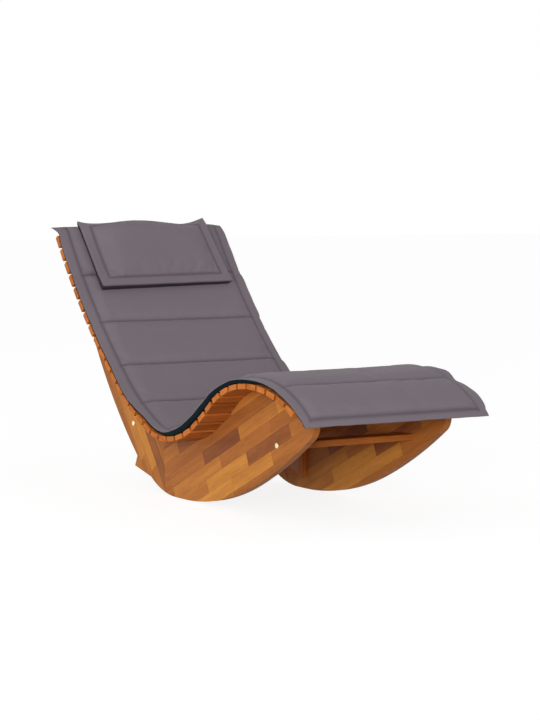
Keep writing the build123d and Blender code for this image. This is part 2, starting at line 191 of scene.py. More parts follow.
class LoungerStage(bpy.types.PropertyGroup):
    """Camera and studio light"""

    lens: FloatProperty(name="Lens", description="Focal length in millimetres", default=105.0)
    place: FloatVectorProperty(
        name="Camera place", description="Where the camera stands", size=3, subtype="TRANSLATION",
        default=(-3.0710, -5.2795, 0.8794))
    turn: FloatProperty(
        name="Azimuth", description="Camera's turn round the lounger", default=math.radians(-30.901),
        subtype="ANGLE")
    lift: FloatProperty(
        name="Elevation", description="Camera's angle above the horizon", default=math.radians(4.586),
        subtype="ANGLE")
    horizon: FloatProperty(name="Horizon", description="Strength of the light from the sides", default=0.94)
    zenith: FloatProperty(name="Zenith", description="Strength of the light from above", default=0.18)
    key: FloatProperty(name="Key lamp", description="Power of the large lamp", default=5.0, unit="POWER")
    fill: FloatProperty(name="Fill lamp", description="Power of the front lamp", default=485.0, unit="POWER")


# Numbers of a Mix node's sockets for colours: its factor, both colours and its result
MIX_FACTOR, MIX_FIRST, MIX_SECOND, MIX_RESULT = 0, 6, 7, 2


class Shader:
    """A material's node tree, built by short calls that return sockets"""

    def __init__(self, name):
        self.material = bpy.data.materials.new(name)
        self.material.use_nodes = True
        self.tree = self.material.node_tree
        self.surface = self.tree.nodes["Principled BSDF"]

    def node(self, kind, settings=None, **inputs):
        """New node with its settings and inputs."""
        made = self.tree.nodes.new(kind)
        for key, value in (settings or {}).items():
            setattr(made, key, value)
        self.fill(made, inputs)
        return made

    def fill(self, node, inputs):
        """Fills a node's inputs by name, where an underscore stands for a space."""
        for key, value in inputs.items():
            self.put(node.inputs[key.replace("_", " ")], value)

    def put(self, socket, value):
        """Links a socket to another one, or sets its value."""
        if isinstance(value, bpy.types.NodeSocket):
            self.tree.links.new(value, socket)
        else:
            socket.default_value = value

    def finish(self, **inputs):
        """Fills the surface's inputs and returns the material."""
        self.fill(self.surface, inputs)
        return self.material

    def operate(self, kind, operation, values):
        """Result of one operation on its values, in order."""
        made = self.node(kind, {"operation": operation})
        for socket, value in zip(made.inputs, values):
            self.put(socket, value)
        return made.outputs[0]

    def math(self, operation, *values):
        """Number worked out from numbers."""
        return self.operate("ShaderNodeMath", operation, values)

    def vector(self, operation, *values):
        """Vector worked out from vectors."""
        return self.operate("ShaderNodeVectorMath", operation, values)

    def join(self, x, y, z):
        """Vector with these three parts."""
        return self.node("ShaderNodeCombineXYZ", X=x, Y=y, Z=z).outputs[0]

    def part(self, vector):
        """The three parts of a vector."""
        return self.node("ShaderNodeSeparateXYZ", Vector=vector).outputs

    def place(self):
        """Place in the frame, which every object shares."""
        return self.node("ShaderNodeTexCoord").outputs["Object"]

    def attribute(self, name):
        """Number that the mesh stores under a name."""
        return self.node("ShaderNodeAttribute", {"attribute_name": name}).outputs["Fac"]

    def noise(self, vector, scale, detail=2.0, roughness=0.5):
        """Smooth noise from 0 to 1."""
        made = self.node(
            "ShaderNodeTexNoise", Vector=vector, Scale=scale, Detail=detail, Roughness=roughness)
        return made.outputs[0]

    def chance(self, vector):
        """Number from 0 to 1 that a vector picks."""
        made = self.node("ShaderNodeTexWhiteNoise", {"noise_dimensions": "3D"}, Vector=vector)
        return made.outputs["Value"]

    def span(self, value, low, high, to_low=0.0, to_high=1.0):
        """Value carried from one range to another, and held at its ends."""
        made = self.node(
            "ShaderNodeMapRange", Value=value, From_Min=low, From_Max=high, To_Min=to_low, To_Max=to_high)
        return made.outputs[0]

    def ramp(self, factor, *stops):
        """Colour that runs through stops, each a position and a colour."""
        made = self.node("ShaderNodeValToRGB", Fac=factor)
        colours = made.color_ramp.elements
        while len(colours) < len(stops):
            colours.new(1.0)
        for element, (position, colour) in zip(colours, stops):
            element.position = position
            element.color = (*colour, 1.0)
        return made.outputs[0]

    def mix(self, factor, first, second, blend="MIX"):
        """Second colour laid on the first by a factor."""
        made = self.node("ShaderNodeMix", {"data_type": "RGBA", "blend_type": blend})
        self.put(made.inputs[MIX_FACTOR], factor)
        for number, colour in ((MIX_FIRST, first), (MIX_SECOND, second)):
            linked = isinstance(colour, bpy.types.NodeSocket)
            self.put(made.inputs[number], colour if linked else (*colour, 1.0))
        return made.outputs[MIX_RESULT]

    def bump(self, height, distance, strength=1.0):
        """Normal bent by a height."""
        made = self.node("ShaderNodeBump", Height=height, Distance=distance, Strength=strength)
        return made.outputs[0]


def shaded(colour, share):
    """A colour made darker or lighter by a share."""
    return tuple(min(1.0, c * share) for c in colour)


# Figure and pores: waves for each metre along and across the grain, and how far a number moves them on
FIGURE_ALONG, FIGURE_ACROSS = 3.0, 46.0
PORES_ALONG, PORES_ACROSS = 26.0, 620.0
NUMBER_SHIFT = 7.31

# What figure, pores and glue lines multiply the wood's colour by where they are strongest
FIGURE_SHADE = (0.40, 0.27, 0.19)
PORE_SHADE = (0.34, 0.22, 0.15)
GLUE_SHADE = (0.25, 0.15, 0.10)

# Shares of a board's colour over its tone, on its oiled faces and, painted lighter, at its ends: painted light
OILED_TONES = ((0.12, 0.62), (0.5, 1.0), (0.95, 1.28))
PAINTED_LIGHT_END_TONES = ((0.12, 1.05), (0.5, 1.45), (0.95, 1.75))
PAINTED_LIGHT_END_BLEND = 0.0006

# Blotches in a stave for each metre along and across it
BLOTCHES_ALONG, BLOTCHES_ACROSS = 11.0, 26.0


def grain(shader, along, across, through, seed):
    """Long streaks of figure and fine pores: noise drawn out along the board, moved on by its number."""
    shift = shader.math("MULTIPLY", seed, NUMBER_SHIFT)
    figure_at = shader.join(
        shader.math("MULTIPLY_ADD", along, FIGURE_ALONG, shift),
        shader.math("MULTIPLY_ADD", across, FIGURE_ACROSS, shift),
        shader.math("MULTIPLY_ADD", through, FIGURE_ACROSS, shift))
    figure = shader.noise(figure_at, 1.0, 4.0, 0.55)
    pore_at = shader.join(
        shader.math("MULTIPLY_ADD", along, PORES_ALONG, shift),
        shader.math("MULTIPLY", across, PORES_ACROSS),
        shader.math("MULTIPLY", through, PORES_ACROSS))
    return figure, shader.noise(pore_at, 1.0, 2.0, 0.6)


def wood_finish(shader, colour, figure, pore):
    """Oiled surface: figure and pores darken the tone, and open pores break up the sheen."""
    colour = shader.mix(shader.span(figure, 0.35, 0.75, 0.0, 0.42), colour, FIGURE_SHADE, "MULTIPLY")
    colour = shader.mix(shader.span(pore, 0.56, 0.72, 0.0, 0.38), colour, PORE_SHADE, "MULTIPLY")
    height = shader.math("MULTIPLY_ADD", figure, 0.5, shader.span(pore, 0.5, 0.72, 1.0, 0.0))
    return shader.finish(
        Base_Color=colour,
        Roughness=shader.span(pore, 0.3, 0.7, 0.44, 0.62),
        Specular_IOR_Level=0.13,
        Normal=shader.bump(height, 0.0003, 0.5))


def toned(shader, tone, colour, share, tones):
    """Ramp over a tone: a share of the colour, times the listed part at each listed place."""
    return shader.ramp(tone, *((place, shaded(colour, share * part)) for place, part in tones))


def board_wood(name, wood, axis, share=1.0, end=None):
    """One solid board with its grain along an axis of the frame (0, 1 or 2), toned by its number, in a share
    of the slats' colour, where a share above 1 paints light on it. Past the end, a distance along that axis,
    the wood is painted lighter: painted light on the board's ends."""
    shader = Shader(name)
    place = shader.part(shader.place())
    number = shader.attribute("board")
    along, across, through = (place[(axis + step) % 3] for step in range(3))
    figure, pore = grain(shader, along, across, through, number)
    tone = shader.chance(shader.join(number, 2.7, 1.3))
    slow = shader.noise(shader.join(shader.math("MULTIPLY", along, 1.5), across, number), 6.0, 2.0)
    tone = shader.math("MULTIPLY_ADD", slow, 0.5, shader.math("MULTIPLY", tone, 0.75))
    colour = toned(shader, tone, wood.slat, share, OILED_TONES)
    if end is not None:
        # Painted light: towards the slat's ends its colour turns to the lighter end tones
        cut = shader.span(shader.math("ABSOLUTE", along), end - PAINTED_LIGHT_END_BLEND, end)
        colour = shader.mix(cut, colour, toned(shader, tone, wood.slat, 1.0, PAINTED_LIGHT_END_TONES))
    return wood_finish(shader, colour, figure, pore)


def stave_wood(name, wood, slope, seed):
    """Edge-glued panel: rows of staves along a slope in the side view, each row cut at its own lengths."""
    shader = Shader(name)
    place = shader.part(shader.place())
    run_y, run_z = math.cos(slope), math.sin(slope)
    along = shader.math("MULTIPLY_ADD", place[2], run_z, shader.math("MULTIPLY", place[1], run_y))
    across = shader.math("MULTIPLY_ADD", place[2], run_y, shader.math("MULTIPLY", place[1], -run_z))
    rows = shader.math("MULTIPLY_ADD", across, 1.0 / wood.stave_width, seed)
    row = shader.math("FLOOR", rows)
    row_chance = shader.chance(shader.join(row, seed, 0.5))
    length = shader.math("MULTIPLY_ADD", row_chance, wood.stave_spread, wood.stave_length)
    shift = shader.chance(shader.join(row, seed, 4.5))
    pieces = shader.math("ADD", shader.math("DIVIDE", along, length), shader.math("MULTIPLY", shift, 9.0))
    stave = shader.join(row, shader.math("FLOOR", pieces), seed)
    number = shader.math("MULTIPLY", shader.chance(shader.vector("ADD", stave, (0.0, 0.0, 3.0))), 40.0)
    figure, pore = grain(shader, along, across, place[0], number)
    blotch_at = shader.join(
        shader.math("MULTIPLY", along, BLOTCHES_ALONG),
        shader.math("MULTIPLY", across, BLOTCHES_ACROSS), number)
    blotch = shader.noise(blotch_at, 1.0, 2.0)
    own_tone = shader.math("MULTIPLY_ADD", shader.chance(stave), 0.95, -0.08)
    tone = shader.math("MULTIPLY_ADD", blotch, 0.30, own_tone)
    colour = shader.ramp(
        tone, (0.08, wood.dark), (0.36, shaded(wood.middle, 0.90)), (0.62, wood.middle), (0.98, wood.light))
    edge = shader.math("MULTIPLY", shader.math("PINGPONG", rows, 0.5), wood.stave_width)
    cut = shader.math("MULTIPLY", shader.math("PINGPONG", pieces, 0.5), length)
    line = shader.math("MINIMUM", edge, cut)
    colour = shader.mix(shader.span(line, 0.0003, 0.0007, 0.45, 0.0), colour, GLUE_SHADE, "MULTIPLY")
    return wood_finish(shader, colour, figure, pore)


def plain_metal(name, colour, roughness, metallic=1.0):
    """Plated metal with a faintly brushed sheen."""
    shader = Shader(name)
    worn = shader.noise(shader.place(), 900.0, 3.0)
    return shader.finish(
        Base_Color=shader.mix(worn, shaded(colour, 0.88), colour),
        Metallic=metallic,
        Roughness=shader.span(worn, 0.3, 0.7, roughness, roughness + 0.14))


# The canvas: pitch and relief of its yarns, slubs for each metre across and along it, and the painted shade
# that darkens it in a seam
WEAVE_PITCH, WEAVE_RELIEF = 0.0011, 0.0004
SLUBS_ACROSS, SLUBS_ALONG = 90.0, 900.0
SEAM_PAINTED_SHADE = (0.46, 0.42, 0.46)


def woven_cloth(name, colour, sheen):
    """Plain weave on the cloth's own map, in metres: warp and weft arches take turns on chequered yarns. The
    hollows between yarns and the cloth near a seam are painted darker: painted shade.
    """
    shader = Shader(name)
    weave = shader.part(shader.node("ShaderNodeUVMap", {"uv_map": "cloth"}).outputs[0])
    warp_at = shader.math("DIVIDE", weave[0], WEAVE_PITCH)
    weft_at = shader.math("DIVIDE", weave[1], WEAVE_PITCH)
    warp = shader.math("PINGPONG", warp_at, 0.5)
    weft = shader.math("PINGPONG", weft_at, 0.5)
    turn = shader.math("ADD", shader.math("FLOOR", warp_at), shader.math("FLOOR", weft_at))
    over = shader.math("PINGPONG", turn, 1.0)
    height = shader.math(
        "ADD", shader.math("MULTIPLY", warp, over),
        shader.math("MULTIPLY", weft, shader.math("SUBTRACT", 1.0, over)))
    slub_at = shader.join(
        shader.math("MULTIPLY", weave[0], SLUBS_ACROSS), shader.math("MULTIPLY", weave[1], SLUBS_ALONG), 0.0)
    slub = shader.noise(slub_at, 1.0, 2.0)
    broad = shader.noise(shader.place(), 5.0, 3.0)
    mottle = shader.math("MULTIPLY_ADD", slub, 0.3, shader.math("MULTIPLY", broad, 0.35))
    # Painted shade: the yarns' height lightens their crowns and darkens the hollows between them
    tone = shader.math("MULTIPLY_ADD", height, 0.5, mottle)
    # Painted shade: close to a seam the cloth is multiplied towards the darker seam shade
    seam = shader.span(shader.attribute("seam"), 0.0, 1.0, 0.0, 0.80)
    cloth = shader.ramp(tone, (0.15, shaded(colour, 0.86)), (0.75, shaded(colour, 1.10)))
    return shader.finish(
        Base_Color=shader.mix(seam, cloth, SEAM_PAINTED_SHADE, "MULTIPLY"),
        Roughness=shader.span(height, 0.0, 0.5, 0.93, 0.80),
        Sheen_Weight=sheen,
        Sheen_Roughness=0.5,
        Specular_IOR_Level=0.1 + sheen,
        Normal=shader.bump(height, WEAVE_RELIEF, 0.6))


def add_object(name, data):
    """New object at the origin, in the scene."""
    made = bpy.data.objects.new(name, data)
    bpy.context.scene.collection.objects.link(made)
    return made


def new_piece(name, points, faces):
    """Mesh object at the origin from point and face arrays."""
    mesh = bpy.data.meshes.new(name)
    mesh.from_pydata(np.asarray(points).reshape(-1, 3).tolist(), [], np.asarray(faces).tolist())
    mesh.validate()
    return add_object(name, mesh)


def give(piece, body, slot, *materials):
    """Rides the piece on its body and puts its materials on. The slot is not used."""
    for material in materials:
        piece.data.materials.append(material)
    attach(piece, body)


# The glue line between each panel's boards: a point on it and its direction square to the joint
GLUE_POINT = Vector((0.0, 0.085, 0.080))
GLUE_LEAN = math.radians(5.7)
GLUE_PLANE = Vector((0.0, math.cos(GLUE_LEAN), -math.sin(GLUE_LEAN)))
GLUE_SLACK = 1e-4

# Points of a board within this distance are merged
MERGE_DISTANCE = 1e-6

# Turns between two faces: below the first they are one flat, past the second their edge is sanded round, and
# past the third it is shaded as an edge
FLAT_TURN, SANDED_TURN, SHADED_TURN = (math.radians(angle) for angle in (0.05, 60.0, 40.0))


def rounded_board(node, name, width, number, plane=None):
    """Merged copy of a board with its sharp edges rounded, apart from those that lie in a glue plane."""
    work = bmesh.new()
    work.from_mesh(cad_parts[node].data)
    bmesh.ops.remove_doubles(work, verts=work.verts, dist=MERGE_DISTANCE)
    bmesh.ops.dissolve_limit(
        work, angle_limit=FLAT_TURN, verts=work.verts, edges=work.edges, use_dissolve_boundaries=False)
    weight = work.edges.layers.float.new("bevel_weight_edge")
    for edge in work.edges:
        glued = plane is not None and all(abs(plane.dot(v.co - GLUE_POINT)) < GLUE_SLACK for v in edge.verts)
        edge[weight] = float(edge.is_manifold and edge.calc_face_angle() > SANDED_TURN and not glued)
    mesh = bpy.data.meshes.new(name)
    work.to_mesh(mesh)
    work.free()
    mesh.attributes.new("board", "FLOAT", "POINT").data.foreach_set(
        "value", np.full(len(mesh.vertices), number, np.float32))
    mesh.shade_smooth()
    mesh.set_sharp_from_angle(angle=SHADED_TURN)
    piece = add_object(name, mesh)
    bevel = piece.modifiers.new("sanded_edges", "BEVEL")
    bevel.limit_method = "WEIGHT"
    bevel.width = width
    bevel.segments = 3
    bevel.use_clamp_overlap = False
    bevel.harden_normals = True
    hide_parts(node)
    return piece


def deck_line(station):
    """Slat line at each station: arcs are walked from the low point towards the head (+) and the foot (-).
    Returns y, z and tilt, in metres and radians."""
    station = np.asarray(station, dtype=float)
    y, z, tilt = (np.zeros_like(station) for _ in range(3))
    for side, arcs in ((1.0, HEAD_ARCS), (-1.0, FOOT_ARCS)):
        left = np.clip(side * station, 0.0, None)
        slope, start = np.zeros_like(station), 0.0
        for radius, end_slope in arcs:
            end = math.radians(end_slope)
            bend = math.copysign(radius, end - start)
            step = np.minimum(left, radius * abs(end - start))
            turned = slope + step / bend
            y += side * bend * (np.sin(turned) - np.sin(slope))
            z += bend * (np.cos(slope) - np.cos(turned))
            left = left - step
            slope, start = turned, end
        y += side * left * np.cos(slope)
        z += left * np.sin(slope)
        tilt += side * slope
    return LOW_Y + y, LOW_Z + z, tilt


def over_deck(x, station, rise):
    """Points at x across the deck, at a station along it and a rise square to it."""
    y, z, tilt = deck_line(station)
    return np.stack((x, y - rise * np.sin(tilt), z + rise * np.cos(tilt)), axis=-1)


def graded(first, last, cells, ease):
    """Grid lines from one seam to the next, closer at both: an even step with a sine taken off it."""
    t = np.linspace(0.0, 1.0, cells + 1)
    return first + (last - first) * (t - ease * np.sin(2 * np.pi * t) / (2 * np.pi))


def lines_through(marks, cells, ease):
    """Grid lines through a list of marks, with a count of cells for each gap between them."""
    runs = [graded(a, b, n, ease)[:-1] for a, b, n in zip(marks, marks[1:], cells)]
    return np.concatenate(runs + [np.array([marks[-1]])])


def rounded_rise(distance, reach):
    """Share of the full height at a distance from a seam: a quarter circle over the reach."""
    left = 1.0 - np.clip(distance / reach, 0.0, 1.0)
    return np.sqrt(np.clip(1.0 - left**2, 0.0, 1.0))


def eased(value, start, end):
    """Smooth step from 0 at start to 1 at end."""
    t = np.clip((value - start) / (end - start), 0.0, 1.0)
    return t * t * (3.0 - 2.0 * t)


def ripple(seed, count, along, longest, shortest):
    """Sum of sines with set lengths and seeded phases, from about -1 to 1."""
    draw = np.random.default_rng(seed)
    lengths = np.geomspace(longest, shortest, count)
    phases = draw.uniform(0.0, 2 * np.pi, count)
    shares = draw.uniform(0.6, 1.0, count)
    waves = shares * np.sin(2 * np.pi * np.asarray(along)[..., None] / lengths + phases)
    return waves.sum(-1) / shares.sum()


def sewn_pair(name, top, under, shade_lined_sides):
    """Closed cover from two equal grids of points, top and underside, joined by a wall round their edges.
    The underside is dark lining, and so are the walls along the two sides where they are lined. The dark
    lining
    stands in for the shade under the cover: painted shade."""
    rows, columns = top.shape[:2]
    index = np.arange(rows * columns).reshape(rows, columns)
    below = index + rows * columns
    upper = np.stack((index[:-1, :-1], index[:-1, 1:], index[1:, 1:], index[1:, :-1]), -1).reshape(-1, 4)
    lower = np.stack((below[:-1, :-1], below[1:, :-1], below[1:, 1:], below[:-1, 1:]), -1).reshape(-1, 4)
    rim = np.concatenate((index[0, :-1], index[:-1, -1], index[-1, :0:-1], index[:0:-1, 0]))
    after = np.roll(rim, -1)
    wall = np.stack((rim, rim + rows * columns, after + rows * columns, after), -1)
    faces = np.concatenate((upper, wall, lower))
    piece = new_piece(name, np.concatenate((top.reshape(-1, 3), under.reshape(-1, 3))), faces)
    end, side = np.zeros(columns - 1, int), np.full(rows - 1, int(shade_lined_sides))
    shade = np.concatenate((np.zeros(len(upper), int), end, side, end, side, np.ones(len(lower), int)))
    piece.data.polygons.foreach_set("material_index", shade.astype(np.int32))
    piece.data.shade_smooth()
    return piece


def map_cloth(piece, across, along):
    """The cloth's own map in metres: across and along the piece at each of its points."""
    corners = np.empty(len(piece.data.loops), np.int32)
    piece.data.loops.foreach_get("vertex_index", corners)
    flat = np.stack((across, along), -1).reshape(-1, 2)
    both = np.concatenate((flat, flat))[corners]
    piece.data.uv_layers.new(name="cloth").data.foreach_set("uv", both.astype(np.float32).ravel())


def mark_painted_seam_shade(piece, painted_seam_shade):
    """Stores how close each point of both sheets is to a seam, from 0 to 1: there the cloth is painted with
    shade.
    """
    both = np.concatenate((painted_seam_shade.ravel(), painted_seam_shade.ravel())).astype(np.float32)
    piece.data.attributes.new("seam", "FLOAT", "POINT").data.foreach_set("value", both)


# The swelling cloth: how many frames it runs for, and its settings
SWELL_FRAMES = 18
SWELL_SETTINGS = {
    "vertex_group_mass": "held", "quality": 6, "mass": 0.25, "tension_stiffness": 12.0,
    "compression_stiffness": 12.0, "shear_stiffness": 6.0, "bending_stiffness": 0.6, "shrink_min": -0.012,
    "use_pressure": True, "uniform_pressure_force": 3.0}


def inflate(piece, held, cap):
    """Cloth held at its top seams and all over its underside swells under pressure. A point's move eases off
    towards the cap, by a hyperbolic tangent."""
    scene = bpy.context.scene
    start = np.empty(len(piece.data.vertices) * 3, np.float32)
    piece.data.vertices.foreach_get("co", start)
    both = np.concatenate((held.ravel(), np.ones(held.size, bool)))
    piece.vertex_groups.new(name="held").add(np.flatnonzero(both).tolist(), 1.0, "REPLACE")
    cloth = piece.modifiers.new("swell", "CLOTH")
    for key, value in SWELL_SETTINGS.items():
        setattr(cloth.settings, key, value)
    cloth.settings.effector_weights.gravity = 0.0
    cloth.point_cache.frame_start = 1
    cloth.point_cache.frame_end = SWELL_FRAMES
    for number in range(1, SWELL_FRAMES + 1):
        scene.frame_set(number)
    swollen = piece.evaluated_get(bpy.context.evaluated_depsgraph_get())
    moved = np.empty_like(start)
    swollen.data.vertices.foreach_get("co", moved)
    piece.modifiers.remove(cloth)
    piece.vertex_groups.clear()
    scene.frame_set(1)
    step = (moved - start).reshape(-1, 3)
    length = np.maximum(np.linalg.norm(step, axis=1, keepdims=True), 1e-9)
    eased_step = step * (cap * np.tanh(length / cap) / length)
    piece.data.vertices.foreach_set("co", (start.reshape(-1, 3) + eased_step).astype(np.float32).ravel())
    piece.data.update()


def smooth_once(piece):
    """One level of subdivision, the same in the view and the render."""
    finer = piece.modifiers.new("fine_cloth", "SUBSURF")
    finer.levels = finer.render_levels = 1


def sewn_cover(name, sheets, station, across, shade_lined_sides, swell):
    top, under, held, painted_seam_shade = sheets
    piece = sewn_pair(name, top, under, shade_lined_sides)
    map_cloth(piece, across, station)
    mark_painted_seam_shade(piece, painted_seam_shade)
    inflate(piece, held, swell)
    smooth_once(piece)
    return piece


def top_grid(piece, shape):
    """Points and normals of the smoothed top sheet, on the grid that it was sewn from."""
    smooth = piece.evaluated_get(bpy.context.evaluated_depsgraph_get()).data
    points = np.empty(len(smooth.vertices) * 3, np.float32)
    normals = np.empty_like(points)
    smooth.vertices.foreach_get("co", points)
    smooth.vertex_normals.foreach_get("vector", normals)
    count = shape[0] * shape[1]
    both = (values.reshape(-1, 3)[:count] for values in (points, normals))
    return tuple(values.reshape(*shape, 3).astype(float) for values in both)


def stitch_runs(rows, columns, seams, sides):
    """Runs of grid points along each cross seam, from side to side, and along both sides, from end to end."""
    seam_rows = [np.argmin(np.abs(rows - seam)) for seam in seams]
    first, last = (np.argmin(np.abs(columns - side)) for side in sides)
    runs = [np.s_[row, first:last + 1] for row in seam_rows]
    return runs + [np.s_[seam_rows[0]:seam_rows[-1] + 1, column] for column in (first, last)]


def at_walk(distances, walked, values):
    """Values along a run of points, each with three parts, at distances walked along it."""
    return np.stack([np.interp(distances, walked, part) for part in values.T], -1)


# A stitch: its sides, and in thread radii how far its middle stands over the cloth and its tips dip from there
STITCH_SIDES = 6
STITCH_STAND, STITCH_DIP = 0.3, 0.8


def sew(name, grid, runs, sizes):
    """Stitches along runs of grid points: capsules with a few sides that lie on the cloth and dip into it at
    both ends. Each is two rings of points and two tips."""
    points, normals = grid
    turns = np.linspace(0.0, 2 * np.pi, STITCH_SIDES, endpoint=False)[None, :, None]
    radius, half = sizes.stitch_radius, sizes.stitch_length / 2
    verts, faces, count = [], [], 0
    each = 2 * STITCH_SIDES + 2
    side = np.arange(STITCH_SIDES)
    after = (side + 1) % STITCH_SIDES
    far, far_after = side + STITCH_SIDES, after + STITCH_SIDES
    tube = np.stack((side, after, far_after, far), -1)
    caps = np.concatenate((
        np.stack((np.full(STITCH_SIDES, each - 2), after, side), -1),
        np.stack((np.full(STITCH_SIDES, each - 1), far, far_after), -1)))
    for run in runs:
        line, up = points[run], normals[run]
        walked = np.concatenate(([0.0], np.cumsum(np.linalg.norm(np.diff(line, axis=0), axis=1))))
        at = np.arange(sizes.stitch_pitch / 2, walked[-1], sizes.stitch_pitch)
        spot, lift = at_walk(at, walked, line), at_walk(at, walked, up)
        run_to = at_walk(at + half, walked, line) - at_walk(at - half, walked, line)
        lift /= np.linalg.norm(lift, axis=1, keepdims=True)
        run_to /= np.linalg.norm(run_to, axis=1, keepdims=True)
        across = np.cross(lift, run_to)
        ring = radius * (np.cos(turns) * across[:, None] + np.sin(turns) * lift[:, None])
        middle = spot + STITCH_STAND * radius * lift
        dip = STITCH_DIP * radius * lift
        rings = [(middle + way * (half - radius) * run_to)[:, None] + ring for way in (-1.0, 1.0)]
        tips = [(middle + way * half * run_to - dip)[:, None] for way in (-1.0, 1.0)]
        made = np.concatenate(rings + tips, 1)
        verts.append(made.reshape(-1, 3))
        starts = count + each * np.arange(len(made))
        faces += (tube[None] + starts[:, None, None]).reshape(-1, 4).tolist()
        faces += (caps[None] + starts[:, None, None]).reshape(-1, 3).tolist()
        count += each * len(made)
    mesh = bpy.data.meshes.new(name)
    mesh.from_pydata(np.concatenate(verts).tolist(), [], faces)
    mesh.shade_smooth()
    return add_object(name, mesh)


def spun_thread(name, colour):
    """Sewing thread: a fine twist of lighter and darker strands."""
    shader = Shader(name)
    twist = shader.noise(shader.vector("MULTIPLY", shader.place(), (2600.0, 900.0, 2600.0)), 1.0, 2.0)
    return shader.finish(
        Base_Color=shader.mix(shader.span(twist, 0.35, 0.65), shaded(colour, 0.78), shaded(colour, 1.15)),
        Roughness=shader.span(twist, 0.3, 0.7, 0.55, 0.75),
        Sheen_Weight=0.2)


class LOUNGER_OT_slats(bpy.types.Operator):
    """Round and finish the deck slats"""

    bl_idname = "lounger.slats"
    bl_label = "Deck Slats"

    def execute(self, context):
        wood = context.scene.lounger_wood
        # The slats' ends are painted lighter: painted light
        finish = board_wood("oiled_slat", wood, 0, end=CAD_BOX[1][0] - wood.edge_round)
        for number, node in enumerate(SLATS, 1):
            piece = rounded_board(node, f"oiled_{node}", wood.edge_round, number)
            give(piece, "frame", "slat_wood", finish)
        return {"FINISHED"}


# Offsets of the staves' rows: each picks a pattern of lengths and tones, and places the glue lines
FRONT_ROWS, BACK_ROWS = 119.96154, 458.375


class LOUNGER_OT_panels(bpy.types.Operator):
    """Round and finish the glued side panels"""

    bl_idname = "lounger.panels"
    bl_label = "Side Panels"

    def execute(self, context):
        wood = context.scene.lounger_wood
        front = stave_wood("front_staves", wood, math.pi - wood.front_slope, FRONT_ROWS)
        back = stave_wood("back_staves", wood, wood.back_slope, BACK_ROWS)
        for nodes, finish in ((FRONT_BOARDS, front), (BACK_BOARDS, back)):
            for node in nodes:
                piece = rounded_board(node, f"staved_{node}", wood.edge_round, 0.0, GLUE_PLANE)
                give(piece, "frame", "panel_wood", finish)
        return {"FINISHED"}


# Shares of the slats' colour, raised as painted light, on the plates and rails, and the number that tones the
# first of each
PLATE_PAINTED_LIGHT, RAIL_PAINTED_LIGHT = 1.35, 1.18
FIRST_NUMBER = 50


class LOUNGER_OT_rails(bpy.types.Operator):
    """Round and finish the cross rails and the joint plates"""

    bl_idname = "lounger.rails"
    bl_label = "Rails and Joint Plates"

    def execute(self, context):
        wood = context.scene.lounger_wood
        # Painted light: plates and rails take the slat wood in a lighter share, for the shade under the deck
        upright = board_wood("upright_grain_painted_light", wood, 2, PLATE_PAINTED_LIGHT)
        level = board_wood("level_grain_painted_light", wood, 0, RAIL_PAINTED_LIGHT)
        for nodes, finish, slot in ((JOINT_PLATES, upright, "panel_wood"), (RAILS, level, "rail_wood")):
            for number, node in enumerate(nodes, FIRST_NUMBER):
                piece = rounded_board(node, f"oiled_{node}", wood.edge_round, number)
                give(piece, "frame", slot, finish)
        return {"FINISHED"}


class LOUNGER_OT_fastenings(bpy.types.Operator):
    """Finish bolts, nuts, screws and dowels"""

    bl_idname = "lounger.fastenings"
    bl_label = "Fastenings"

    def execute(self, context):
        brass = plain_metal("pale_brass", linear(250, 238, 200), 0.22)
        steel = plain_metal("zinc_plate", linear(196, 196, 190), 0.30)
        bronzed = plain_metal("bronzed_zinc", linear(128, 96, 58), 0.42)
        peg = board_wood("dowel_beech", context.scene.lounger_wood, 1)
        finishes = {
            "rail_bolts": brass, "rail_barrel_nuts": steel, "joint_plate_screws": bronzed,
            "left_slat_screws": steel, "right_slat_screws": steel, "panel_dowels": peg}
        for node, finish in finishes.items():
            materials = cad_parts[node].data.materials
            materials.clear()
            materials.append(finish)
        return {"FINISHED"}


# Stations of the cushion's cross seams, from foot to head
CROSS_SEAMS = (-0.794, -0.6466, -0.476, -0.306, -0.1357, 0.0347, 0.207, 0.378, 0.5585, 0.747, 0.932)

# Heights of the cushion's sewn border over the slat line, from foot to head: at its stitch and, on the
# sitter's right, at its outer edge. From the shins to the seat that edge stands off the slats, and on the back
# it lies down on them.
BORDER_STATIONS = (
    -0.815, -0.790, -0.740, -0.690, -0.630, -0.530, -0.430, -0.375, -0.290, -0.187, -0.050, 0.020,
    0.110, 0.205, 0.563, 0.757, 0.900, 0.932, 0.958)
STITCH_HEIGHTS = (
    0.0000, 0.0050, 0.0115, 0.0160, 0.0190, 0.0205, 0.0222, 0.0230, 0.0232, 0.0225, 0.0198, 0.0175,
    0.0162, 0.0155, 0.0150, 0.0145, 0.0140, 0.0130, 0.0130)
EDGE_HEIGHTS = (
    -0.0008, 0.0030, 0.0100, 0.0125, 0.0160, 0.0178, 0.0212, 0.0228, 0.0262, 0.0275, 0.0218, 0.0152,
    0.0130, 0.0126, 0.0112, 0.0104, 0.0104, 0.0104, 0.0104)

# How far the border's outer edge lies from the middle, on the sitter's right and left
EDGE_STATIONS = (
    -0.815, -0.790, -0.740, -0.690, -0.645, -0.560, -0.430, -0.290, -0.070, 0.020, 0.090, 0.145,
    0.190, 0.225, 0.285, 0.400, 0.550, 0.955)
RIGHT_EDGE = (
    0.2885, 0.2900, 0.2925, 0.2930, 0.2938, 0.2945, 0.2965, 0.3010, 0.3010, 0.2915, 0.2890, 0.2890,
    0.2960, 0.3005, 0.3000, 0.2970, 0.2965, 0.2965)
LEFT_EDGE = (
    0.2890, 0.2945, 0.2990, 0.2990, 0.2985, 0.2980, 0.2975, 0.2975, 0.2975, 0.2975, 0.2975, 0.2975,
    0.2975, 0.2975, 0.2975, 0.2975, 0.2975, 0.2975)

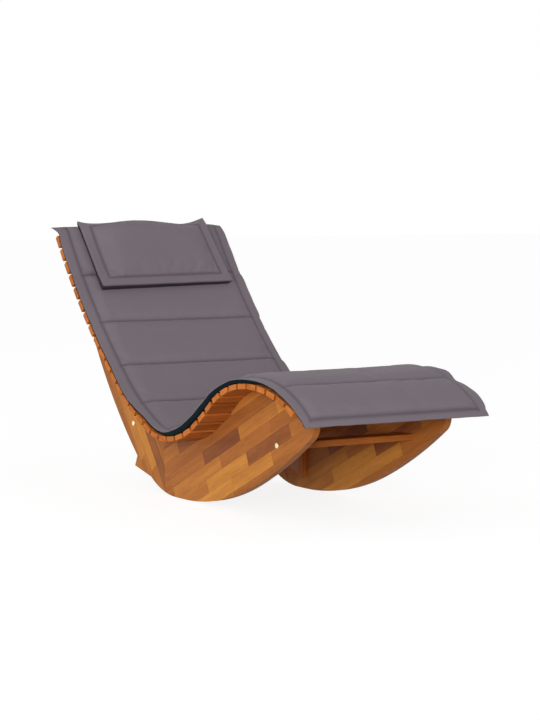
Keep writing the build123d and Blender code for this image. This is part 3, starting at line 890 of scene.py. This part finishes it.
# Heights of the outer edge on the sitter's left, which stands highest over the shins
LEFT_STATIONS = (
    -0.815, -0.790, -0.740, -0.690, -0.650, -0.634, -0.616, -0.600, -0.560, -0.520, -0.480, -0.430,
    -0.375, -0.290, -0.187, -0.050, 0.020, 0.110, 0.205, 0.955)
LEFT_HEIGHTS = (
    -0.0008, 0.0030, 0.0092, 0.0096, 0.0092, 0.0110, 0.0190, 0.0240, 0.0250, 0.0280, 0.0265, 0.0225,
    0.0225, 0.0210, 0.0185, 0.0145, 0.0120, 0.0108, 0.0104, 0.0104)

# Small sideways shifts of the left border between one seam and the next, from foot to head
LEFT_SHIFTS = (
    0.0, 0.0010, -0.0020, 0.0015, -0.0012, 0.0020, -0.0020, 0.0026, -0.0026, 0.0024, -0.0014, 0.0)

# Cells of the cushion's grid in each end border and channel, and across it, where each edge has a narrow hem
END_CELLS, CHANNEL_CELLS = 4, 17
CUSHION_COLUMNS = (1, 5, 54, 5, 1)
HEM_WIDTH = 0.0015

# How much the grid lines are drawn together at the cross seams, and at the other seams
SEAM_EASE, GRID_EASE = 0.55, 0.45

# The most that the cushion's swelling moves a point
CUSHION_SWELL = 0.0030

# A point within this distance of a seam lies on it, and the seam's shadow has this width
ON_SEAM, SEAM_SHADOW = 1e-6, 0.0038

# Reach of the stuffing's rise from a cross seam and from the border stitch
SEAM_REACH, SIDE_REACH = 0.020, 0.040

# Gathers beside the seams: their reach and height
GATHER_REACH, GATHER_HEIGHT = 0.014, 0.0005

# Waves of the border: the outer edge's height and reach, and the foot edge's height
EDGE_WAVE, SIDE_WAVE, FOOT_WAVE = 0.0010, 0.0014, 0.0014

# How far the cross seams draw the border in, on the sitter's right and left
SEAM_PULLS = (0.0020, 0.0042)

# Past the head seam: how far the border falls and draws back for its length. The head end lies further up the
# deck by a shift and, towards the sitter's left, by a skew.
HEAD_FALL, HEAD_DRAW = 0.906, 0.58
HEAD_SHIFT, HEAD_SKEW = 0.0050, 0.0110


class LOUNGER_OT_cushion(bpy.types.Operator):
    """Sew, stuff and lay the seat cushion"""

    bl_idname = "lounger.cushion"
    bl_label = "Seat Cushion"

    def execute(self, context):
        sizes = context.scene.lounger_cloth
        half, stitch = sizes.width / 2, sizes.width / 2 - sizes.border
        hem = half - HEM_WIDTH
        marks = [CROSS_SEAMS[0] - sizes.foot_border, *CROSS_SEAMS, CROSS_SEAMS[-1] + sizes.head_border]
        channels = [CHANNEL_CELLS] * (len(CROSS_SEAMS) - 1)
        rows = lines_through(marks, [END_CELLS, *channels, END_CELLS], SEAM_EASE)
        columns = lines_through([-half, -hem, -stitch, stitch, hem, half], CUSHION_COLUMNS, GRID_EASE)
        station, across = np.meshgrid(rows, columns, indexing="ij")
        sheets = cushion_sheets(sizes, station, across)
        piece = sewn_cover("seat_cushion_cover", sheets, station, across, True, CUSHION_SWELL)
        give(
            piece, "cushion", "cushion_fabric",
            woven_cloth("grey_canvas", sizes.fabric, 0.12),
            woven_cloth("dark_lining_painted_shade", sizes.underside, 0.0))
        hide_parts("seat_cushion")
        runs = stitch_runs(rows, columns, CROSS_SEAMS, (-stitch, stitch))
        thread = sew("cushion_stitching", top_grid(piece, station.shape), runs, sizes)
        give(thread, "cushion", "cushion_fabric", spun_thread("grey_thread", sizes.thread))
        return {"FINISHED"}


def smooth_line(station, stations, heights):
    """Smooth line through listed heights: cubic steps between the stations."""
    x, y = np.array(stations), np.array(heights)
    slope = np.gradient(y, x)
    cell = np.clip(np.searchsorted(x, station) - 1, 0, len(x) - 2)
    width = x[cell + 1] - x[cell]
    t = np.clip((station - x[cell]) / width, 0.0, 1.0)
    a, b = y[cell], y[cell + 1]
    p, q = slope[cell] * width, slope[cell + 1] * width
    return a + t * (p + t * (3 * (b - a) - 2 * p - q + t * (2 * (a - b) + p + q)))


def soft_rise(distance, reach):
    """Share of the full height at a distance from a border stitch: between a quarter circle and a quarter
    of a sine wave."""
    round_share = rounded_rise(distance, reach)
    return 0.4 * round_share + 0.6 * np.sin(0.5 * np.pi * np.clip(distance / reach, 0.0, 1.0))


def bell(distance, width):
    """Share that fades with distance: the exponential of minus its square, in widths."""
    return np.exp(-((distance / width) ** 2))


def cushion_sheets(sizes, station, across):
    """Grids of the seat cushion: top, underside, which points are held at a seam, and how close they lie to
    one, which sets the painted shade along the seams.
    Inside the border stitch the cloth rises steeply from each seam to a flat crown, and every seam lies
    straight at the border's height. Past the head seam the border hangs down, apart from its corners. From
    the shins to the lower back the underside's side borders reach down to the slats, and their dark lining
    stands in for the shade under the border: partly painted shade."""
    seams = np.array(CROSS_SEAMS)
    half, stitch = sizes.width / 2, sizes.width / 2 - sizes.border
    inward = stitch - np.abs(across)
    to_seam = np.abs(station[..., None] - seams).min(-1)
    to_end = np.minimum(station - seams[0], seams[-1] - station)
    inside = (inward > ON_SEAM) & (to_end > ON_SEAM)
    swell = np.where(inside, rounded_rise(to_seam, SEAM_REACH) * soft_rise(inward, SIDE_REACH), 0.0)
    out = np.clip(-inward / sizes.border, 0.0, 1.0)
    past_head = np.clip(station - seams[-1], 0.0, None)
    past_foot = np.clip(seams[0] - station, 0.0, None) / sizes.foot_border
    right = across < 0
    side_wave = np.where(right, ripple(3, 6, station, 0.42, 0.06), ripple(8, 6, station, 0.39, 0.06))
    gathers = bell(inward, GATHER_REACH) * ripple(21, 6, station, 0.060, 0.018)
    gathers = gathers + bell(to_seam, GATHER_REACH) * ripple(27, 6, across + 0.3 * station, 0.110, 0.036)
    at_stitch = smooth_line(station, BORDER_STATIONS, STITCH_HEIGHTS)
    at_right = smooth_line(station, BORDER_STATIONS, EDGE_HEIGHTS)
    at_left = smooth_line(station, LEFT_STATIONS, LEFT_HEIGHTS)
    at_stitch = at_stitch + 0.35 * eased(across, 0.05, stitch) * (at_left - at_right)
    at_edge = np.where(right, at_right, at_left)
    middle = at_stitch + out * (at_edge - at_stitch) + EDGE_WAVE * out**1.5 * side_wave
    corner = bell(half - np.abs(across), 0.034)
    head_corner = corner * bell(seams[-1] + sizes.head_border - station, 0.040)
    middle = middle - HEAD_FALL * past_head * (1.0 - 0.30 * head_corner)
    middle = middle + past_foot * FOOT_WAVE * ripple(5, 5, across, 0.33, 0.07)
    right_edge, left_edge = (smooth_line(station, EDGE_STATIONS, edge) for edge in (RIGHT_EDGE, LEFT_EDGE))
    edge = np.where(right, right_edge, left_edge)
    channel = np.clip(np.searchsorted(seams, station), 0, len(LEFT_SHIFTS) - 1)
    shift = np.where(right, 0.0, np.array(LEFT_SHIFTS)[channel]) * rounded_rise(to_seam, 0.030)
    pull = np.exp(-to_seam / 0.010) * np.where(right, *SEAM_PULLS)
    bordered = stitch + out * (edge - stitch + shift - pull + SIDE_WAVE * side_wave)
    reach = np.where(out > 0, bordered, np.abs(across))
    ear = 0.0185 * bell(station - 0.936, 0.013) - 0.0045 * bell(station - 0.903, 0.020)
    wide = np.sign(across) * (reach + np.where(right, ear * corner, -0.0100 * head_corner))
    raised = eased(station, 0.80, seams[-1]) * (HEAD_SHIFT + HEAD_SKEW * across)
    long = station + raised - HEAD_DRAW * past_head - np.where(right, 0.0, 0.0060) * head_corner
    rise = sizes.puff * swell + GATHER_HEIGHT * gathers * (out < 0.9)
    sink = np.maximum(middle - sizes.cloth / 2 - sizes.low, 0.0)
    # Painted shade: from the shins to the lower back the border's dark underside wall reaches down to the
    # slats
    shade_wall = eased(station, -0.62, -0.52) * (1.0 - eased(station, 0.30, 0.60))
    hang = np.where(inside, swell, shade_wall * eased(out, 0.15, 0.85))
    top = over_deck(wide, long, middle + sizes.cloth / 2 + rise)
    under = over_deck(wide, long, middle - sizes.cloth / 2 - sink * hang)
    edge_distance = np.where(inside, np.minimum(to_seam, inward), np.minimum(np.abs(inward), to_seam))
    # How close each point lies to a seam or the border stitch: this sets the painted shade along them
    painted_seam_shade = bell(edge_distance, SEAM_SHADOW) * (inward > -0.004) * (to_end > -0.004)
    return top, under, ~inside | (to_seam < ON_SEAM), painted_seam_shade


# Cells of the pillow's grid over a border, the stuffing and the other border
PILLOW_COLUMNS, PILLOW_ROWS = (6, 52, 6), (6, 30, 6)

# The most that the pillow's swelling moves a point
PILLOW_SWELL = 0.006

# The pillow's crest: its middle and span across the deck, its rise, and how far it draws the top up the deck
CREST_MIDDLE, CREST_SPAN = -0.048, 0.48
CREST_RISE, CREST_SHIFT = 0.024, 0.008

# Reach of the stuffing's rise from the side stitches, and from the upper and the lower stitch
PILLOW_SIDE_REACH, PILLOW_TOP_REACH, PILLOW_FOOT_REACH = 0.065, 0.046, 0.060

# How much of the upper border is drawn in as it folds down
PILLOW_TUCK = 0.50


class LOUNGER_OT_pillow(bpy.types.Operator):
    """Sew, stuff and lay the headrest pillow"""

    bl_idname = "lounger.pillow"
    bl_label = "Headrest Pillow"

    def execute(self, context):
        sizes = context.scene.lounger_cloth
        half, border = sizes.pillow_width / 2, sizes.pillow_border
        lower, upper = sizes.pillow_lower, sizes.pillow_upper
        sides, ends = (border - half, half - border), (lower + border, upper - border)
        columns = lines_through([-half, *sides, half], PILLOW_COLUMNS, GRID_EASE)
        rows = lines_through([lower, *ends, upper], PILLOW_ROWS, GRID_EASE)
        station, across = np.meshgrid(rows, columns, indexing="ij")
        sheets = pillow_sheets(sizes, station, across)
        piece = sewn_cover("headrest_pillow_cover", sheets, station, across, False, PILLOW_SWELL)
        cloth = bpy.data.materials["grey_canvas"]
        # Painted shadow: the pillow's underside and its wall are this dark lining
        lining = woven_cloth("pillow_lining_painted_shadow", sizes.lining, 0.0)
        give(piece, "headrest", "pillow_fabric", cloth, lining)
        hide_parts("headrest_pillow")
        runs = stitch_runs(rows, columns, ends, sides)
        thread = sew("pillow_stitching", top_grid(piece, station.shape), runs, sizes)
        give(thread, "headrest", "pillow_fabric", bpy.data.materials["grey_thread"])
        return {"FINISHED"}


def pillow_crest(across):
    """Share of the pillow's crest at a place across the deck: a squared cosine over its span."""
    return np.cos(np.clip(np.pi * (across - CREST_MIDDLE) / CREST_SPAN, -np.pi / 2, np.pi / 2)) ** 2


def pillow_sheets(sizes, station, across):
    """Grids of the pillow: top, underside, which points are held at a seam, and how close they lie to one,
    which sets the painted shade along the seams.
    It is full inside the stitch, with a flat border round it and long corners. Its upper border folds down
    behind the stuffing, which arches in the middle, and only its corners show."""
    half, border = sizes.pillow_width / 2, sizes.pillow_border
    lower, upper = sizes.pillow_lower, sizes.pillow_upper
    inward_x = half - border - np.abs(across)
    inward_s = np.minimum(station - lower, upper - station) - border
    inward = np.minimum(inward_x, inward_s)
    inside = inward > ON_SEAM
    reach = np.where(station > (lower + upper) / 2, PILLOW_TOP_REACH, PILLOW_FOOT_REACH)
    swell = np.where(inside, soft_rise(inward_x, PILLOW_SIDE_REACH) * soft_rise(inward_s, reach), 0.0)
    out = np.clip(-inward / border, 0.0, 1.0)
    bow = 1.0 - (np.abs(across) / half) ** 4
    share = (station - lower) / (upper - lower)
    crest = pillow_crest(across)
    near_top = bell(np.clip(upper - border - station, 0.0, None), 0.045)
    fold = np.clip(station - upper + border, 0.0, None)
    near_foot = bell(station - lower, 0.050)
    middle = sizes.pillow_seam + (CREST_RISE * crest - 0.003) * near_top - (0.24 + 0.62 * bow) * fold
    middle = middle + (0.0055 - 0.0160 * across) * near_foot
    wave = np.where(
        np.abs(across) > half - border, ripple(13, 4, station, 0.21, 0.07), ripple(17, 5, across, 0.31, 0.09))
    middle = middle + 0.0012 * out**1.5 * wave
    gathers = bell(inward, 0.012) * ripple(33, 6, across + station, 0.080, 0.024)
    wide = across * (1.007 - 0.022 * share) - 0.0014 - 0.0110 * share
    wide = wide + 0.004 * np.sin(np.pi * share) * (across < 0) * np.abs(across) / half
    long = station - PILLOW_TUCK * fold * bow + CREST_SHIFT * crest * near_top
    skewed = long + sizes.pillow_skew * wide
    rise = sizes.pillow_crown * swell + GATHER_HEIGHT * gathers * (out < 0.9)
    top = over_deck(wide, skewed, middle + sizes.cloth / 2 + rise)
    rim = np.minimum(half - np.abs(across), np.minimum(station - lower, upper - station))
    # Painted shadow: the underside falls steeply at the rim, so its dark lining shows as a band below the
    # lower edge
    sink = np.maximum(middle - sizes.cloth / 2 - sizes.pillow_low, 0.0) * rounded_rise(rim, 0.003)
    under = over_deck(wide, skewed, middle - sizes.cloth / 2 - sink)
    return top, under, ~inside, bell(inward, SEAM_SHADOW)


# The tab's fold over the slat line, at the line that the pillow turns about: its station and its height
TAB_FOLD = (0.9452, 0.0207)
TAB_MIDDLE = -0.022
TAB_ROWS, TAB_COLUMNS = 15, 25

# Heights over the slat line: the tab's two ends, on the cushion and at the pillow, and between which it bends
TAB_ENDS = (0.0140, 0.0295)
TAB_BEND = (0.0150, 0.0280)

# How far the tab stops short of the pillow's back edge
TAB_HEM = 0.0040


class LOUNGER_OT_tab(bpy.types.Operator):
    """Sew the folded tab that joins the pillow's upper edge to the cushion's head seam"""

    bl_idname = "lounger.tab"
    bl_label = "Pillow Tab"

    def execute(self, context):
        sizes = context.scene.lounger_cloth
        run, across = np.meshgrid(
            np.linspace(0.0, 1.0, TAB_ROWS),
            TAB_MIDDLE + sizes.tab_width * np.linspace(-0.5, 0.5, TAB_COLUMNS), indexing="ij")
        station, rise = tab_line(sizes, run, across)
        slope = np.arctan2(np.gradient(rise, axis=0), np.gradient(station, axis=0))
        step = sizes.tab_cloth / 2
        top, under = (
            over_deck(across, station - way * step * np.sin(slope), rise + way * step * np.cos(slope))
            for way in (1.0, -1.0))
        piece = sewn_pair("headrest_pillow_tab", top, under, False)
        reach = np.hypot(np.diff(station, axis=0), np.diff(rise, axis=0)).sum(0).mean()
        map_cloth(piece, across, run * reach)
        mark_painted_seam_shade(piece, np.zeros(run.shape))
        cloth = bpy.data.materials["grey_canvas"]
        piece.data.materials.append(cloth)
        piece.data.materials.append(cloth)
        start, end = (over_deck(np.array(TAB_MIDDLE), TAB_FOLD[0], height) for height in TAB_BEND)
        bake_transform(piece)
        return {"FINISHED"}


def tab_line(sizes, run, across):
    """Station and height along the tab: a parabola from the cushion's head seam, through the fold, to the
    pillow's back edge, which follows the pillow's crest and skew."""
    on_cushion, at_pillow = (np.full_like(across, height) for height in TAB_ENDS)
    first = np.stack((CROSS_SEAMS[-1] + HEAD_SHIFT + HEAD_SKEW * across, on_cushion))
    edge = sizes.pillow_upper - PILLOW_TUCK * sizes.pillow_border + CREST_SHIFT * pillow_crest(across)
    edge = edge + sizes.pillow_skew * across
    last = np.stack((edge - TAB_HEM, at_pillow))
    fold = np.array(TAB_FOLD).reshape(2, 1, 1)
    pull = 2.0 * fold - (first + last) / 2.0
    return (1.0 - run) ** 2 * first + 2.0 * run * (1.0 - run) * pull + run**2 * last


# The floor's reach each way from the middle, its grey and its glow
FLOOR_REACH = 30.0
FLOOR_GREY, FLOOR_GLOW = 0.28, 0.86

# Each lamp's place, what it faces and its width
KEY_LAMP = ((-2.6, -2.2, 3.4), (0.0, 0.0, 0.3), 2.6)
FILL_LAMP = ((-5.8, -6.7, 1.1), (0.0, 0.0, 0.25), 3.6)

# The camera's sensor in millimetres, and how far it sees
SENSOR_WIDTH = 36.0
FARTHEST = 100.0


class LOUNGER_OT_stage(bpy.types.Operator):
    """Set up the floor, the lamps and the camera"""

    bl_idname = "lounger.stage"
    bl_label = "Stage"

    def execute(self, context):
        scene, studio = context.scene, context.scene.lounger_stage
        scene.view_settings.view_transform = "Standard"
        corners = np.array(((-1, -1, 0), (1, -1, 0), (1, 1, 0), (-1, 1, 0)))
        floor = new_piece("studio_floor", FLOOR_REACH * corners, [(0, 1, 2, 3)])
        floor.data.materials.append(studio_floor())
        light_sky(scene, studio)
        add_lamp("key_lamp", *KEY_LAMP, studio.key)
        add_lamp("fill_lamp", *FILL_LAMP, studio.fill)
        place_camera(scene, studio)
        return {"FINISHED"}


def white_to_view(tree):
    """1 for camera, glossy and transmission rays, and 0 for the rays that light the object."""
    path = tree.nodes.new("ShaderNodeLightPath")
    total = path.outputs["Is Camera Ray"]
    for name in ("Is Glossy Ray", "Is Transmission Ray"):
        most = tree.nodes.new("ShaderNodeMath")
        most.operation = "MAXIMUM"
        tree.links.new(total, most.inputs[0])
        tree.links.new(path.outputs[name], most.inputs[1])
        total = most.outputs[0]
    return total


def studio_floor():
    """White floor: plain diffuse, and for the view also an even glow that leaves the shadow showing."""
    material = bpy.data.materials.new("studio_floor")
    material.use_nodes = True
    tree = material.node_tree
    tree.nodes.clear()
    plain = tree.nodes.new("ShaderNodeBsdfDiffuse")
    plain.inputs["Color"].default_value = (FLOOR_GREY, FLOOR_GREY, FLOOR_GREY, 1.0)
    glow = tree.nodes.new("ShaderNodeEmission")
    level = tree.nodes.new("ShaderNodeMath")
    level.operation = "MULTIPLY"
    level.inputs[1].default_value = FLOOR_GLOW
    tree.links.new(white_to_view(tree), level.inputs[0])
    tree.links.new(level.outputs[0], glow.inputs["Strength"])
    both = tree.nodes.new("ShaderNodeAddShader")
    tree.links.new(plain.outputs[0], both.inputs[0])
    tree.links.new(glow.outputs[0], both.inputs[1])
    surface = tree.nodes.new("ShaderNodeOutputMaterial")
    tree.links.new(both.outputs[0], surface.inputs["Surface"])
    return material


def light_sky(scene, studio):
    """White light from all round, stronger from the sides than from above. The view sees plain white."""
    world = bpy.data.worlds.new("studio_sky")
    scene.world = world
    world.use_nodes = True
    tree = world.node_tree
    tree.nodes.clear()
    sky = tree.nodes.new("ShaderNodeBackground")
    sky.inputs["Color"].default_value = (1.0, 1.0, 1.0, 1.0)
    way = tree.nodes.new("ShaderNodeSeparateXYZ")
    tree.links.new(tree.nodes.new("ShaderNodeTexCoord").outputs["Generated"], way.inputs[0])
    level = tree.nodes.new("ShaderNodeMapRange")
    level.inputs["To Min"].default_value = studio.horizon
    level.inputs["To Max"].default_value = studio.zenith
    tree.links.new(way.outputs["Z"], level.inputs["Value"])
    seen = tree.nodes.new("ShaderNodeMix")
    seen.inputs["B"].default_value = 1.0
    tree.links.new(white_to_view(tree), seen.inputs["Factor"])
    tree.links.new(level.outputs[0], seen.inputs["A"])
    tree.links.new(seen.outputs["Result"], sky.inputs["Strength"])
    shown = tree.nodes.new("ShaderNodeOutputWorld")
    tree.links.new(sky.outputs[0], shown.inputs["Surface"])


def add_lamp(name, place, target, size, power):
    """Square area lamp that faces a target."""
    lamp = bpy.data.lights.new(name, "AREA")
    lamp.size = size
    lamp.energy = power
    holder = add_object(name, lamp)
    holder.location = place
    holder.rotation_euler = (Vector(target) - Vector(place)).to_track_quat("-Z", "Y").to_euler()


def place_camera(scene, studio):
    """Camera at the photograph's place and angle, found from its azimuth and elevation."""
    a, e = studio.turn, studio.lift
    back = Vector((math.sin(a) * math.cos(e), -math.cos(a) * math.cos(e), math.sin(e)))
    right = Vector((math.cos(a), math.sin(a), 0.0))
    up = back.cross(right)
    lens = bpy.data.cameras.new("photo_camera")
    lens.lens = studio.lens
    lens.sensor_width = SENSOR_WIDTH
    lens.clip_end = FARTHEST
    holder = add_object("photo_camera", lens)
    turn = Matrix((right, up, back)).transposed()
    holder.matrix_world = Matrix.Translation(studio.place) @ turn.to_4x4()
    scene.camera = holder


class LOUNGER_PT_pieces(bpy.types.Panel):
    """Lists the lounger's pieces"""

    bl_idname = "LOUNGER_PT_pieces"
    bl_label = "Rocking Sun Lounger"
    bl_space_type = "VIEW_3D"
    bl_region_type = "UI"
    bl_category = "Lounger"

    def draw(self, context):
        for operator in OPERATORS:
            self.layout.operator(operator.bl_idname)
        for group in (context.scene.lounger_wood, context.scene.lounger_cloth, context.scene.lounger_stage):
            box = self.layout.box()
            for name in group.__annotations__:
                box.prop(group, name)


OPERATORS = (
    LOUNGER_OT_slats, LOUNGER_OT_panels, LOUNGER_OT_rails, LOUNGER_OT_fastenings,
    LOUNGER_OT_cushion, LOUNGER_OT_pillow, LOUNGER_OT_tab, LOUNGER_OT_stage)
GROUPS = {"lounger_wood": LoungerWood, "lounger_cloth": LoungerCloth, "lounger_stage": LoungerStage}


def register():
    for group in (*GROUPS.values(), *OPERATORS, LOUNGER_PT_pieces):
        bpy.utils.register_class(group)
    for name, group in GROUPS.items():
        setattr(bpy.types.Scene, name, PointerProperty(type=group))


def unregister():
    for name in GROUPS:
        delattr(bpy.types.Scene, name)
    for group in (LOUNGER_PT_pieces, *reversed(OPERATORS), *reversed(GROUPS.values())):
        bpy.utils.unregister_class(group)


def main():
    register()
    bpy.ops.lounger.slats()
    bpy.ops.lounger.panels()
    bpy.ops.lounger.rails()
    bpy.ops.lounger.fastenings()
    bpy.ops.lounger.cushion()
    bpy.ops.lounger.pillow()
    bpy.ops.lounger.tab()
    bpy.ops.lounger.stage()


if __name__ == "__main__":
    main()
